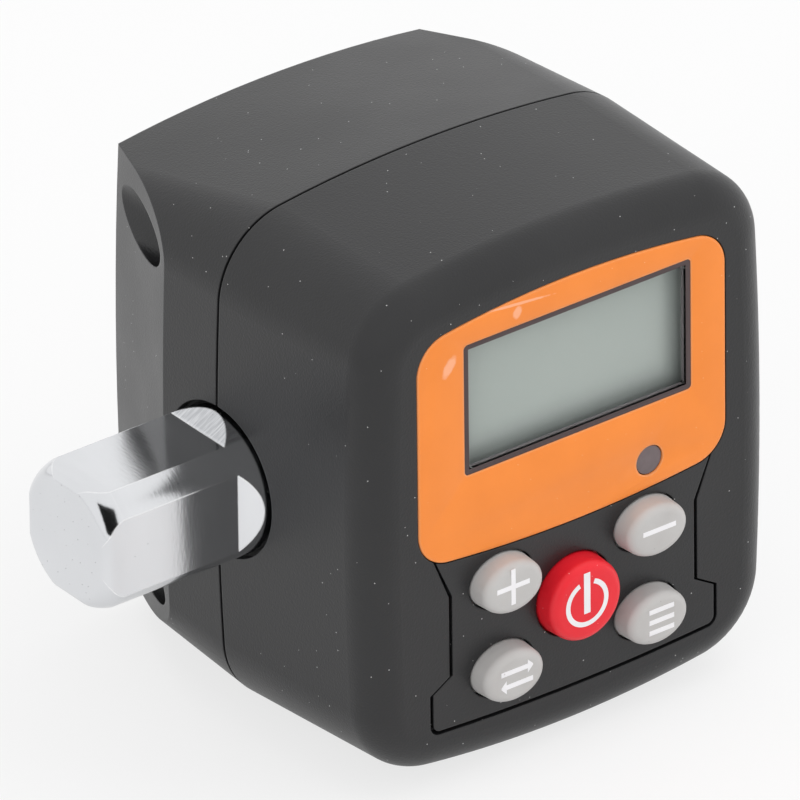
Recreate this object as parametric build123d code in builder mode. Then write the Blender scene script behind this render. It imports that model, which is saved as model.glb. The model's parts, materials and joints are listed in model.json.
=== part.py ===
from build123d import *
import math
import os

# Digital torque adapter for a half inch square drive.
# Origin at the centre of the female socket's mouth, on the drive axis.
# +X points out of the socket, -Y is the display side, +Z is up.

# Housing
body_width = 50.8
crown = 28.55
base = 27.8
front_depth = 22.6
rear_depth = 25.0
side_bulge = 0.9
crown_rise = 2.3
base_rise = 2.3
top_corner = 8.6
base_corner = 8.7
face_round = 3.8
wall = 2.4
face_side_draft = 0.95
face_base_draft = 1.1
face_top_corner = 7.7
back_crown_drop = 3.95
back_base_drop = 3.5
back_top_corner = 4.6
back_base_corner = 5.6
taper_start = 8.7
taper_inset = 6.5
seam_gap = 0.35
seam_width = 0.8

# Drive shaft
drive_square = 12.7
bar_radius = 7.62
male_proud = 18.15
flats_margin = 2.35
runout_length = 2.2
tip_round = 0.75
tip_round_length = 0.9
tip_disc_radius = 5.8
tip_corner_length = 3.2
socket_proud = 1.0
socket_clearance = 0.15
socket_depth = 17.0
socket_lead = 0.6
barrel_radius = 10.8
barrel_length = 19.5
gauge_square = 10.4
gauge_length = 18.0
key_flats = 19.0
key_length = 4.0
recess_radius = 2.2
recess_depth = 8.0
recess_reach = 8.4
shaft_fit = 0.1
boss_wall = 1.2
male_boss_length = 7.0
female_boss_length = 15.5
male_hole_radius = 8.06
female_hole_radius = 11.3
hole_land = 1.2
seal_width = 1.6
seal_height = 0.9
seal_fit = 0.03

# Detent in the male square
ball_radius = 2.0
ball_travel = 0.9
ball_fit = 0.06
ball_left_proud = 0.1
ball_from_tip = 8.5
spring_wire = 0.35
spring_radius = 1.5
spring_turns = 4
spring_length = 4.4

# Display
label_half_width = 18.5
label_from_crown = 4.9
label_bottom = -3.3
label_top_rise = 1.7
label_bottom_rise = 1.25
label_top_corner = 3.9
label_bottom_corner = 3.9
label_thickness = 0.5
label_proud = 0.05
label_edge = 0.15
label_gap = 0.1
window_width = 26.3
window_height = 13.3
window_border = 0.5
window_x = 0.68
window_from_label = 10.32
window_corner = 0.5
pane_seat = 0.9
pane_margin = 1.6
pane_fit = 0.1
pane_thickness = 0.8
glass_thickness = 2.4
frame_wall = 1.0
zebra_width = 2.0
glass_gap = 0.1
led_x = 9.24
led_z = 0.0
led_radius = 1.5
led_flange = 1.9
led_flange_height = 1.0
led_recess = 0.15
led_fit = 0.1

# Keypad
plate_half_width = 16.95
plate_waist = 14.6
plate_top_half = 16.5
plate_top = -2.1
plate_shoulder = -6.4
plate_hip = -15.2
plate_flare = -16.6
plate_base = -21.3
plate_base_rise = 0.6
plate_corner = 0.8
plate_thickness = 1.2
plate_gap = 0.4
key_x = 8.7
key_top_z = -6.7
key_low_z = -16.5
key_radius_x = 3.72
key_radius_z = 2.9
power_z = -11.4
power_radius = 4.4
key_proud = 2.4
key_round = 0.9
key_fit = 0.15
flange_margin = 0.65
flange_thickness = 0.9
key_travel = 0.5
post_radius = 1.6

# Electronics
board_gap = 5.6
board_thickness = 1.6
board_half_width = 18.3
board_from_crown = 5.75
board_bottom = -23.0
board_corner = 2.0
board_screw_x = 16.2
board_screw_top_z = -0.9
board_screw_low_z = -20.9
board_post_radius = 1.9
board_screw_radius = 0.8
board_screw_head_radius = 1.5
board_screw_head = 0.8
board_screw_length = 5.0
board_hole_radius = 1.0
switch_size = 6.0
switch_height = 3.0
switch_bore = 1.75
switch_bore_depth = 1.6
plunger_radius = 1.6
plunger_grip = 0.9
plunger_margin = 0.2
chip_corner = 0.5
chip_size = 8.0
chip_height = 1.4
chip_x = -10.5
chip_from_top = 5.8
amplifier_length = 5.0
amplifier_width = 4.0
amplifier_height = 1.3
amplifier_x = 2.5
amplifier_from_top = 5.3
crystal_length = 8.0
crystal_width = 3.4
crystal_height = 2.6
crystal_x = 11.5
crystal_from_top = 4.8
buzzer_radius = 5.5
buzzer_height = 3.0
buzzer_port = 1.1
buzzer_x = 9.0
buzzer_z = -17.0
gauge_patch_length = 6.0
gauge_patch_width = 4.5
gauge_patch_height = 0.3
lead_radius = 0.45
lead_bend = 1.6
lead_spread = 2.2

# Battery
cell_radius = 12.25
cell_height = 5.0
tray_floor = 1.0
tray_wall = 1.6
tray_fit = 0.35
cell_play = 0.3
contact_thickness = 0.4
contact_width = 5.0
contact_lift = 0.9
contact_reach = 8.0
door_side_margin = 0.3
door_top_margin = 3.0
door_base_margin = 0.8
door_corner = 2.5
door_thickness = 1.8
door_gap = 0.25
door_frame = 1.6
door_seal_width = 0.9
door_seal_height = 0.5
door_screw_gap = 0.5
door_screw_radius = 1.0
door_screw_head_radius = 1.9
door_screw_head = 1.1
door_screw_length = 7.0
door_screw_fit = 0.1
door_boss_radius = 2.9
door_grip_width = 10.0
door_grip_height = 2.0
door_grip_depth = 0.6

# Case screws
screw_from_side = 3.7
screw_from_crown = 9.35
screw_from_base = 9.6
screw_radius = 1.25
thread_fit = 0.05
screw_head_radius = 2.4
screw_head = 1.7
screw_length = 14.0
slot_width = 0.6
slot_depth = 0.7
slot_share = 1.2
pocket_radius = 2.6
pocket_floor = 3.0
case_boss_radius = 3.1
case_boss_front = 12.0

# Places that follow from the sizes above
half_width = body_width / 2
seam_section = (half_width, crown, base, top_corner, base_corner)
face_section = (
    half_width - face_side_draft,
    crown,
    base - face_base_draft,
    face_top_corner,
    base_corner,
)
back_section = (
    half_width,
    crown - back_crown_drop,
    base - back_base_drop,
    back_top_corner,
    back_base_corner,
)
right_face = -socket_proud
mid_x = right_face - half_width
left_face = right_face - body_width
male_tip = left_face - male_proud
flats_end = left_face - flats_margin
face_y = -front_depth
label_top = crown - label_from_crown
window_z = label_top - window_from_label
board_top = crown - board_from_crown
chip_z = board_top - chip_from_top
amplifier_z = board_top - amplifier_from_top
crystal_z = board_top - crystal_from_top
screw_x = half_width - screw_from_side
screw_heights = (screw_from_base - base, crown - screw_from_crown)
inner_face_y = face_y + wall
back_y = rear_depth
inner_back_y = back_y - wall
board_front_y = inner_face_y + board_gap
board_back_y = board_front_y + board_thickness
switch_top_y = board_front_y - switch_height
flange_back_y = inner_face_y + flange_thickness
post_tip_y = switch_top_y - plunger_grip
gauge_start = -barrel_length - gauge_length
ledge_y = back_y - door_thickness - door_seal_height
tray_back_y = inner_back_y - door_frame
cell_back_y = back_y - door_thickness - cell_play
cell_front_y = cell_back_y - cell_height
tray_floor_y = cell_front_y - contact_lift
tray_front_y = tray_floor_y - tray_floor
tray_half = cell_radius + tray_fit + tray_wall
door_half_width = tray_half + door_side_margin
door_screw_z = tray_half + door_boss_radius + door_screw_gap
door_top = door_screw_z + door_top_margin
door_bottom = -tray_half - door_base_margin
pane_front_y = face_y + pane_seat
glass_front_y = pane_front_y + pane_thickness + glass_gap
glass_back_y = glass_front_y + glass_thickness
ball_x = male_tip + ball_from_tip
ball_z = ball_radius - drive_square / 2 - ball_travel - ball_left_proud
spring_start_z = ball_z + math.sqrt((ball_radius + spring_wire) ** 2 - spring_radius**2)
os.makedirs("parts", exist_ok=True)


def at_depth(y):
    """Plane facing the user at depth y: local x is across from the middle, local y is up."""
    return Plane(origin=(mid_x, y, 0), x_dir=(1, 0, 0), z_dir=(0, -1, 0))


def across(x):
    """Plane square to the drive axis: local x is towards the back, local y is up."""
    return Plane(origin=(x, 0, 0), x_dir=(0, 1, 0), z_dir=(1, 0, 0))


def housing_outline(y, inset=0.0):
    """Barrel shaped outline of the housing at depth y, between its sizes at the seam and at the end."""
    end, share = (face_section, -y / front_depth) if y < 0 else (back_section, y / rear_depth)
    sizes = [first + (last - first) * share - inset for first, last in zip(seam_section, end)]
    half, top, bottom, top_radius, base_radius = sizes
    corner_x = half - side_bulge
    corner_top = top - crown_rise
    corner_base = base_rise - bottom
    with BuildSketch(at_depth(y)) as outline:
        with BuildLine():
            ThreePointArc((-corner_x, corner_top), (0, top), (corner_x, corner_top))
            ThreePointArc((corner_x, corner_top), (half, 0), (corner_x, corner_base))
            ThreePointArc((corner_x, corner_base), (0, -bottom), (-corner_x, corner_base))
            ThreePointArc((-corner_x, corner_base), (-half, 0), (-corner_x, corner_top))
        make_face()
        fillet(outline.vertices().group_by(Axis.Y)[-1], top_radius)
        fillet(outline.vertices().group_by(Axis.Y)[0], base_radius)
    return outline.sketch


def flank_outline(y, half):
    """Tall outline between the bulged flanks, used to taper the rear shell."""
    tall = crown + wall
    waist = half - side_bulge * (tall / (crown - crown_rise)) ** 2
    with BuildSketch(at_depth(y)) as outline:
        with BuildLine():
            Line((-waist, tall), (waist, tall))
            ThreePointArc((waist, tall), (half, 0), (waist, -tall))
            Line((waist, -tall), (-waist, -tall))
            ThreePointArc((-waist, -tall), (-half, 0), (-waist, tall))
        make_face()
    return outline.sketch


def rear_form(inset, depth):
    """The rear shell's outer or inner shape: a drafted barrel cut by tapered flanks."""
    taper = taper_inset * (depth - taper_start) / (rear_depth - taper_start)
    with BuildPart() as flanks:
        knee = flank_outline(taper_start, half_width - inset)
        loft([flank_outline(0, half_width - inset), knee])
        loft([knee, flank_outline(depth, half_width - inset - taper)])
    with BuildPart() as form:
        loft([housing_outline(0, inset), housing_outline(depth, inset)])
        add(flanks.part, mode=Mode.INTERSECT)
    return form.part


def label_outline(y, inset=0.0):
    """Label outline with an arched top and bottom."""
    half = label_half_width - inset
    top = label_top - inset
    bottom = label_bottom + inset
    side_top = top - label_top_rise
    side_bottom = bottom + label_bottom_rise
    with BuildSketch(at_depth(y)) as outline:
        with BuildLine():
            ThreePointArc((-half, side_top), (0, top), (half, side_top))
            Line((half, side_top), (half, side_bottom))
            ThreePointArc((half, side_bottom), (0, bottom), (-half, side_bottom))
            Line((-half, side_bottom), (-half, side_top))
        make_face()
        fillet(outline.vertices().group_by(Axis.Y)[-1], label_top_corner - inset)
        fillet(outline.vertices().group_by(Axis.Y)[0], label_bottom_corner - inset)
    return outline.sketch


def plate_outline(y, grow=0.0):
    """Waisted outline of the keypad plate."""
    top = plate_top + grow
    low = plate_base - grow
    rise = low + plate_base_rise
    right_side = [
        (plate_top_half + grow, top),
        (plate_waist + grow, plate_shoulder),
        (plate_waist + grow, plate_hip),
        (plate_half_width + grow, plate_flare),
        (plate_half_width + grow, rise),
    ]
    left_side = [(-x, z) for x, z in reversed(right_side)]
    with BuildSketch(at_depth(y)) as outline:
        with BuildLine():
            Polyline(*right_side)
            ThreePointArc(right_side[-1], (0, low), left_side[0])
            Polyline(*left_side)
            Line(left_side[-1], right_side[0])
        make_face()
        fillet(outline.vertices().group_by(Axis.Y)[0], plate_corner + grow)
    return outline.sketch


def pane_outline(y, grow=0.0):
    """Outline of the window pane and the display glass behind it."""
    margin = pane_margin + grow
    with BuildSketch(at_depth(y)) as outline:
        with Locations((window_x, window_z)):
            Rectangle(window_width + 2 * margin, window_height + 2 * margin)
    return outline.sketch


def door_outline(y, grow=0.0):
    """Outline of the battery door, from below the cell to above its screw."""
    height = door_top - door_bottom + 2 * grow
    with BuildSketch(at_depth(y)) as outline:
        with Locations((0, (door_top + door_bottom) / 2)):
            RectangleRounded(2 * (door_half_width + grow), height, door_corner + grow)
    return outline.sketch


def key_sketch(y, spot, grow=0.0):
    """Outline of one key: an oval, or a circle for the power key."""
    name, x, z = spot
    with BuildSketch(at_depth(y)) as outline:
        with Locations((x, z)):
            if name == "power":
                Circle(power_radius + grow)
            else:
                Ellipse(key_radius_x + grow, key_radius_z + grow)
    return outline.sketch


keys = [
    ("plus", -key_x, key_top_z),
    ("minus", key_x, key_top_z),
    ("power", 0, power_z),
    ("units", -key_x, key_low_z),
    ("mode", key_x, key_low_z),
]
key_places = [(x, z) for name, x, z in keys]
case_screw_places = [(sx * screw_x, z) for sx in (-1, 1) for z in screw_heights]
board_screw_heights = (board_screw_top_z, board_screw_low_z)
board_screw_places = [(sx * board_screw_x, z) for sx in (-1, 1) for z in board_screw_heights]

# Room that the shaft, its bosses and its seals take in the two shells
male_boss_end = left_face + wall + male_boss_length
female_boss_end = right_face - wall - female_boss_length
male_seal_x = left_face + hole_land
female_seal_x = right_face - hole_land - seal_width
key_start = -barrel_length

with BuildPart() as boss_form:
    with BuildSketch(across(left_face + wall / 2)):
        Circle(bar_radius + seal_height + boss_wall)
    extrude(amount=male_boss_end - left_face - wall / 2)
    with BuildSketch(across(female_boss_end)):
        Circle(barrel_radius + boss_wall)
    extrude(amount=right_face - wall / 2 - female_boss_end)

with BuildPart() as shaft_space:
    with BuildSketch(across(male_tip)):
        Circle(male_hole_radius)
    extrude(amount=male_seal_x - male_tip)
    with BuildSketch(across(male_seal_x)):
        Circle(bar_radius + seal_height)
    extrude(amount=seal_width)
    with BuildSketch(across(male_seal_x)):
        Circle(bar_radius + shaft_fit)
    extrude(amount=male_boss_end - male_seal_x)
    with BuildSketch(across(male_boss_end)):
        Circle(barrel_radius + shaft_fit)
    extrude(amount=female_boss_end - male_boss_end)
    with BuildSketch(across(female_boss_end)):
        Circle(barrel_radius + shaft_fit)
        Rectangle(key_flats + 2 * shaft_fit, 3 * barrel_radius, mode=Mode.INTERSECT)
    extrude(amount=key_start + key_length + shaft_fit - female_boss_end)
    with BuildSketch(across(key_start + key_length)):
        Circle(barrel_radius + shaft_fit)
    extrude(amount=female_seal_x + seal_width - key_start - key_length)
    with BuildSketch(across(female_seal_x)):
        Circle(barrel_radius + seal_height)
    extrude(amount=seal_width)
    with BuildSketch(across(female_seal_x + seal_width)):
        Circle(female_hole_radius)
    extrude(amount=2 * hole_land + socket_proud)

# Front shell
with BuildPart() as front_outer:
    loft([housing_outline(0), housing_outline(face_y)])
    fillet(front_outer.faces().sort_by(Axis.Y)[0].edges(), face_round)

with BuildPart() as front_cavity:
    loft([housing_outline(0, wall), housing_outline(inner_face_y, wall)])

with BuildPart() as front_bosses:
    with BuildSketch(at_depth(0)):
        with Locations(*case_screw_places):
            Circle(case_boss_radius)
    extrude(amount=wall / 2 - inner_face_y)
    with BuildSketch(at_depth(board_front_y)):
        with Locations(*board_screw_places):
            Circle(board_post_radius)
    extrude(amount=board_gap + wall / 4)
    add(front_outer.part, mode=Mode.INTERSECT)
    add(boss_form.part)
    split(bisect_by=Plane.XZ, keep=Keep.TOP)

with BuildPart() as front_shell:
    add(front_outer.part)
    add(front_cavity.part, mode=Mode.SUBTRACT)
    add(front_bosses.part)
    add(shaft_space.part, mode=Mode.SUBTRACT)
    with BuildSketch(at_depth(0)):
        with Locations(*case_screw_places):
            Circle(screw_radius + thread_fit)
    extrude(amount=case_boss_front, mode=Mode.SUBTRACT)
    with BuildSketch(at_depth(board_front_y)):
        with Locations(*board_screw_places):
            Circle(board_screw_radius + thread_fit)
    extrude(amount=board_screw_length, mode=Mode.SUBTRACT)
    extrude(label_outline(face_y, -label_gap), amount=label_proud - label_thickness, mode=Mode.SUBTRACT)
    extrude(plate_outline(face_y, plate_gap), amount=-plate_thickness, mode=Mode.SUBTRACT)
    with BuildSketch(at_depth(face_y)):
        with Locations((window_x, window_z)):
            RectangleRounded(window_width, window_height, window_corner)
        with Locations((led_x, led_z)):
            Circle(led_radius + led_fit)
    extrude(amount=-wall, mode=Mode.SUBTRACT)
    extrude(pane_outline(pane_front_y), amount=pane_front_y - inner_face_y, mode=Mode.SUBTRACT)
    for spot in keys:
        extrude(key_sketch(face_y, spot, 2 * key_fit), amount=-wall, mode=Mode.SUBTRACT)
front_shell.part.label = "front_shell"
export_step(front_shell.part, "parts/front_shell.step")

# Rear shell
rear_outer = rear_form(0, rear_depth)
rear_cavity = rear_form(wall, rear_depth - wall)
door_boss_y = back_y - door_thickness - door_screw_length - boss_wall

with BuildPart() as rear_bosses:
    with BuildSketch(at_depth(inner_back_y + wall / 2)):
        with Locations(*case_screw_places):
            Circle(pocket_radius + boss_wall)
    extrude(amount=inner_back_y + wall / 2)
    with BuildSketch(at_depth(inner_back_y)):
        with Locations((0, door_screw_z)):
            Circle(door_boss_radius)
    extrude(amount=inner_back_y - door_boss_y)
    extrude(door_outline(inner_back_y + wall / 2, door_frame), amount=door_frame + wall / 2)
    add(boss_form.part)
    split(bisect_by=Plane.XZ, keep=Keep.BOTTOM)

with BuildPart() as seam_groove:
    extrude(housing_outline(0, -seam_width), amount=-seam_gap)
    extrude(housing_outline(0, seam_width), amount=-seam_gap, mode=Mode.SUBTRACT)

with BuildPart() as rear_shell:
    add(rear_outer)
    add(rear_cavity, mode=Mode.SUBTRACT)
    add(rear_bosses.part)
    add(rear_outer, mode=Mode.INTERSECT)
    add(shaft_space.part, mode=Mode.SUBTRACT)
    add(seam_groove.part, mode=Mode.SUBTRACT)
    with BuildSketch(at_depth(back_y)):
        with Locations(*case_screw_places):
            Circle(pocket_radius)
    extrude(amount=back_y - pocket_floor, mode=Mode.SUBTRACT)
    with BuildSketch(at_depth(pocket_floor)):
        with Locations(*case_screw_places):
            Circle(screw_radius + thread_fit)
    extrude(amount=pocket_floor, mode=Mode.SUBTRACT)
    extrude(door_outline(back_y, door_gap), amount=back_y - ledge_y, mode=Mode.SUBTRACT)
    with BuildSketch(at_depth(back_y)):
        Circle(cell_radius + tray_fit)
    extrude(amount=back_y - tray_back_y, mode=Mode.SUBTRACT)
    with BuildSketch(at_depth(back_y)):
        with Locations((0, door_screw_z)):
            Circle(door_screw_radius + door_screw_fit)
    extrude(amount=door_thickness + door_screw_length + door_screw_fit, mode=Mode.SUBTRACT)
rear_shell.part.label = "rear_shell"
export_step(rear_shell.part, "parts/rear_shell.step")

# Drive shaft: male square, necked gauge section and female socket from one bar
with BuildPart() as torque_shaft:
    with BuildSketch(across(male_tip)):
        Circle(bar_radius)
    extrude(amount=gauge_start - male_tip)
    with BuildSketch(Plane.XZ):
        with BuildLine():
            EllipticalCenterArc(
                (male_tip + tip_corner_length, tip_disc_radius),
                tip_corner_length,
                bar_radius + shaft_fit - tip_disc_radius,
                start_angle=90,
                arc_size=90,
            )
            Polyline(
                (male_tip, tip_disc_radius),
                (male_tip - tip_round, tip_disc_radius),
                (male_tip - tip_round, 2 * bar_radius),
                (male_tip + tip_corner_length, 2 * bar_radius),
                (male_tip + tip_corner_length, bar_radius + shaft_fit),
            )
        make_face()
    revolve(axis=Axis.X, mode=Mode.SUBTRACT)
    for turn in range(4):
        with BuildSketch(Plane.XZ.rotated((90 * turn, 0, 0))):
            with BuildLine():
                EllipticalCenterArc(
                    (male_tip + tip_round_length, drive_square / 2 - tip_round),
                    tip_round_length,
                    tip_round,
                    start_angle=90,
                    arc_size=90,
                )
                Polyline(
                    (male_tip + tip_round_length, drive_square / 2),
                    (flats_end, drive_square / 2),
                    (flats_end + runout_length, bar_radius),
                    (flats_end + runout_length, 2 * bar_radius),
                    (male_tip - tip_round, 2 * bar_radius),
                    (male_tip - tip_round, drive_square / 2 - tip_round),
                    (male_tip, drive_square / 2 - tip_round),
                )
            make_face()
        extrude(amount=bar_radius, both=True, mode=Mode.SUBTRACT)
    with BuildSketch(across(gauge_start)):
        Rectangle(gauge_square, gauge_square)
    extrude(amount=gauge_length)
    with BuildSketch(across(key_start)):
        Circle(barrel_radius)
    extrude(amount=barrel_length)
    chamfer(torque_shaft.edges().sort_by(Axis.X)[-1], socket_lead / 2)
    with BuildSketch(across(key_start)):
        Circle(2 * barrel_radius)
        Rectangle(key_flats, 4 * barrel_radius, mode=Mode.SUBTRACT)
    extrude(amount=key_length, mode=Mode.SUBTRACT)
    with BuildSketch(across(-socket_depth)):
        Rectangle(drive_square + socket_clearance, drive_square + socket_clearance)
    extrude(amount=socket_depth, mode=Mode.SUBTRACT)
    chamfer(torque_shaft.faces().sort_by(Axis.X)[-1].inner_wires()[0].edges(), socket_lead)
    for turn in range(4):
        with BuildSketch(Plane.XY.rotated((90 * turn, 0, 0))):
            with Locations((-recess_depth, 0)):
                Circle(recess_radius)
        extrude(amount=recess_reach, mode=Mode.SUBTRACT)
    with BuildSketch(Plane.XY.offset(-drive_square)):
        with Locations((ball_x, 0)):
            Circle(ball_radius + ball_fit)
    extrude(amount=drive_square + spring_start_z + spring_length + spring_wire, mode=Mode.SUBTRACT)
torque_shaft.part.label = "torque_shaft"
export_step(torque_shaft.part, "parts/torque_shaft.step")

# Seal rings round the shaft
with BuildPart() as male_side_seal:
    with BuildSketch(across(male_seal_x)):
        Circle(bar_radius + seal_height - seal_fit)
        Circle(bar_radius + seal_fit, mode=Mode.SUBTRACT)
    extrude(amount=seal_width)
male_side_seal.part.label = "male_side_seal"
export_step(male_side_seal.part, "parts/male_side_seal.step")

with BuildPart() as female_side_seal:
    with BuildSketch(across(female_seal_x)):
        Circle(barrel_radius + seal_height - seal_fit)
        Circle(barrel_radius + seal_fit, mode=Mode.SUBTRACT)
    extrude(amount=seal_width)
female_side_seal.part.label = "female_side_seal"
export_step(female_side_seal.part, "parts/female_side_seal.step")

# Detent
with BuildPart() as detent_ball:
    with Locations((ball_x, 0, ball_z)):
        Sphere(ball_radius)
detent_ball.part.label = "detent_ball"
export_step(detent_ball.part, "parts/detent_ball.step")

with BuildPart() as detent_spring:
    with BuildLine() as coil:
        Helix(spring_length / spring_turns, spring_length, spring_radius, center=(ball_x, 0, spring_start_z))
    with BuildSketch(Plane(origin=coil.line @ 0, z_dir=coil.line % 0)):
        Circle(spring_wire)
    sweep()
detent_spring.part.label = "detent_spring"
export_step(detent_spring.part, "parts/detent_spring.step")

# Display
window_rim = 2 * window_border
with BuildPart() as display_label:
    extrude(label_outline(face_y + label_thickness - label_proud), amount=label_thickness)
    fillet(display_label.faces().sort_by(Axis.Y)[0].edges(), label_edge)
    with BuildSketch(at_depth(face_y - label_proud)):
        with Locations((window_x, window_z)):
            RectangleRounded(window_width + window_rim, window_height + window_rim, window_corner)
        with Locations((led_x, led_z)):
            Circle(led_radius + led_fit)
    extrude(amount=-label_thickness, mode=Mode.SUBTRACT)
display_label.part.label = "display_label"
export_step(display_label.part, "parts/display_label.step")

with BuildPart() as display_window:
    extrude(pane_outline(pane_front_y, -pane_fit), amount=-pane_thickness)
    with BuildSketch(at_depth(pane_front_y)):
        with Locations((window_x, window_z)):
            RectangleRounded(window_width - 2 * pane_fit, window_height - 2 * pane_fit, window_corner)
    extrude(amount=pane_seat)
display_window.part.label = "display_window"
export_step(display_window.part, "parts/display_window.step")

with BuildPart() as lcd_glass:
    extrude(pane_outline(glass_front_y, -pane_fit), amount=-glass_thickness)
lcd_glass.part.label = "lcd_glass"
export_step(lcd_glass.part, "parts/lcd_glass.step")

with BuildPart() as lcd_frame:
    extrude(pane_outline(board_front_y, frame_wall), amount=board_front_y - inner_face_y)
    extrude(pane_outline(board_front_y), amount=board_front_y - inner_face_y, mode=Mode.SUBTRACT)
lcd_frame.part.label = "lcd_frame"
export_step(lcd_frame.part, "parts/lcd_frame.step")

zebra_offset = window_height / 2 + pane_margin - pane_fit - zebra_width / 2
with BuildPart() as zebra_strips:
    with BuildSketch(at_depth(board_front_y)):
        with Locations((window_x, window_z + zebra_offset), (window_x, window_z - zebra_offset)):
            Rectangle(window_width, zebra_width)
    extrude(amount=board_front_y - glass_back_y)
zebra_strips.part.label = "zebra_strips"
export_step(zebra_strips.part, "parts/zebra_strips.step")

with BuildPart() as led_indicator:
    with BuildSketch(at_depth(board_front_y)):
        with Locations((led_x, led_z)):
            Circle(led_radius)
    extrude(amount=board_front_y - face_y + label_proud - led_recess)
    with BuildSketch(at_depth(board_front_y)):
        with Locations((led_x, led_z)):
            Circle(led_flange)
    extrude(amount=led_flange_height)
led_indicator.part.label = "led_indicator"
export_step(led_indicator.part, "parts/led_indicator.step")

# Keypad
with BuildPart() as keypad_plate:
    extrude(plate_outline(face_y), amount=-plate_thickness)
    extrude(label_outline(face_y, -label_gap), amount=label_proud - label_thickness, mode=Mode.SUBTRACT)
    for spot in keys:
        extrude(key_sketch(face_y, spot, key_fit), amount=-plate_thickness, mode=Mode.SUBTRACT)
keypad_plate.part.label = "keypad_plate"
export_step(keypad_plate.part, "parts/keypad_plate.step")

for spot in keys:
    name, x, z = spot
    with BuildPart() as button:
        extrude(key_sketch(inner_face_y, spot), amount=inner_face_y - face_y + key_proud)
        fillet(button.faces().sort_by(Axis.Y)[0].edges(), key_round)
        extrude(key_sketch(inner_face_y, spot, flange_margin), amount=-flange_thickness)
        with BuildSketch(at_depth(flange_back_y)):
            with Locations((x, z)):
                Circle(post_radius)
        extrude(amount=flange_back_y - post_tip_y)
    button.part.label = "button_" + name
    export_step(button.part, "parts/button_" + name + ".step")
    with BuildPart() as plunger:
        with BuildSketch(at_depth(post_tip_y)):
            with Locations((x, z)):
                Circle(plunger_radius)
        extrude(amount=key_travel + plunger_margin - plunger_grip - switch_bore_depth)
    plunger.part.label = "plunger_" + name
    export_step(plunger.part, "parts/plunger_" + name + ".step")

with BuildPart() as key_switches:
    with BuildSketch(at_depth(board_front_y)):
        with Locations(*key_places):
            Rectangle(switch_size, switch_size)
    extrude(amount=switch_height)
    with BuildSketch(at_depth(switch_top_y)):
        with Locations(*key_places):
            Circle(switch_bore)
    extrude(amount=-switch_bore_depth, mode=Mode.SUBTRACT)
key_switches.part.label = "key_switches"
export_step(key_switches.part, "parts/key_switches.step")

# Circuit board and what it carries
with BuildPart() as main_board:
    with BuildSketch(at_depth(board_front_y)):
        with Locations((0, (board_top + board_bottom) / 2)):
            RectangleRounded(2 * board_half_width, board_top - board_bottom, board_corner)
        with Locations(*board_screw_places):
            Circle(board_hole_radius, mode=Mode.SUBTRACT)
    extrude(amount=-board_thickness)
main_board.part.label = "main_board"
export_step(main_board.part, "parts/main_board.step")

board_blocks = [
    ("controller_chip", chip_x, chip_z, chip_size, chip_size, chip_height),
    ("amplifier_chip", amplifier_x, amplifier_z, amplifier_length, amplifier_width, amplifier_height),
    ("crystal_can", crystal_x, crystal_z, crystal_length, crystal_width, crystal_height),
]
for name, x, z, length, width, height in board_blocks:
    with BuildPart() as block:
        with BuildSketch(at_depth(board_back_y)):
            with Locations((x, z)):
                RectangleRounded(length, width, chip_corner)
        extrude(amount=-height)
    block.part.label = name
    export_step(block.part, "parts/" + name + ".step")

with BuildPart() as piezo_buzzer:
    with BuildSketch(at_depth(board_back_y)):
        with Locations((buzzer_x, buzzer_z)):
            Circle(buzzer_radius)
    extrude(amount=-buzzer_height)
    with BuildSketch(at_depth(board_back_y + buzzer_height)):
        with Locations((buzzer_x, buzzer_z)):
            Circle(buzzer_port)
    extrude(amount=buzzer_height / 2, mode=Mode.SUBTRACT)
piezo_buzzer.part.label = "piezo_buzzer"
export_step(piezo_buzzer.part, "parts/piezo_buzzer.step")

# Strain gauges on the necked section, and their leads to the board
gauge_x = gauge_start + gauge_length / 2 - mid_x
gauge_face = gauge_square / 2
with BuildPart() as strain_gauges:
    for side in (-1, 1):
        with BuildSketch(at_depth(side * gauge_face)):
            with Locations((gauge_x, 0)):
                Rectangle(gauge_patch_length, gauge_patch_width)
        extrude(amount=-side * gauge_patch_height)
strain_gauges.part.label = "strain_gauges"
export_step(strain_gauges.part, "parts/strain_gauges.step")

lead_x = gauge_x + mid_x
patch_face = gauge_face + gauge_patch_height
lead_over = gauge_face + 2 * lead_bend
with BuildPart() as gauge_leads:
    for side in (-1, 1):
        x = lead_x + side * lead_spread / 2
        with BuildLine() as front_lead:
            Line((x, -patch_face, 0), (x, board_back_y, 0))
        with BuildSketch(Plane(origin=front_lead.line @ 0, z_dir=front_lead.line % 0)):
            Circle(lead_radius)
        sweep(path=front_lead.line)
        with BuildLine() as rear_lead:
            FilletPolyline(
                (x, patch_face, 0),
                (x, lead_over, 0),
                (x, lead_over, lead_over),
                (x, board_back_y, lead_over),
                radius=lead_bend,
            )
        with BuildSketch(Plane(origin=rear_lead.line @ 0, z_dir=rear_lead.line % 0)):
            Circle(lead_radius)
        sweep(path=rear_lead.line)
gauge_leads.part.label = "gauge_leads"
export_step(gauge_leads.part, "parts/gauge_leads.step")

# Battery, its tray and contacts
with BuildPart() as battery_tray:
    with BuildSketch(at_depth(tray_back_y)):
        Rectangle(2 * tray_half, 2 * tray_half)
    extrude(amount=tray_back_y - tray_front_y)
    with BuildSketch(at_depth(tray_back_y)):
        Circle(cell_radius + tray_fit)
        with Locations((cell_radius, 0)):
            Rectangle(2 * tray_wall, contact_width + tray_fit)
    extrude(amount=tray_back_y - tray_floor_y, mode=Mode.SUBTRACT)
battery_tray.part.label = "battery_tray"
export_step(battery_tray.part, "parts/battery_tray.step")

with BuildPart() as battery_cell:
    with BuildSketch(at_depth(cell_back_y)):
        Circle(cell_radius)
    extrude(amount=cell_height)
    fillet(battery_cell.edges(), contact_thickness)
battery_cell.part.label = "battery_cell"
export_step(battery_cell.part, "parts/battery_cell.step")

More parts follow.
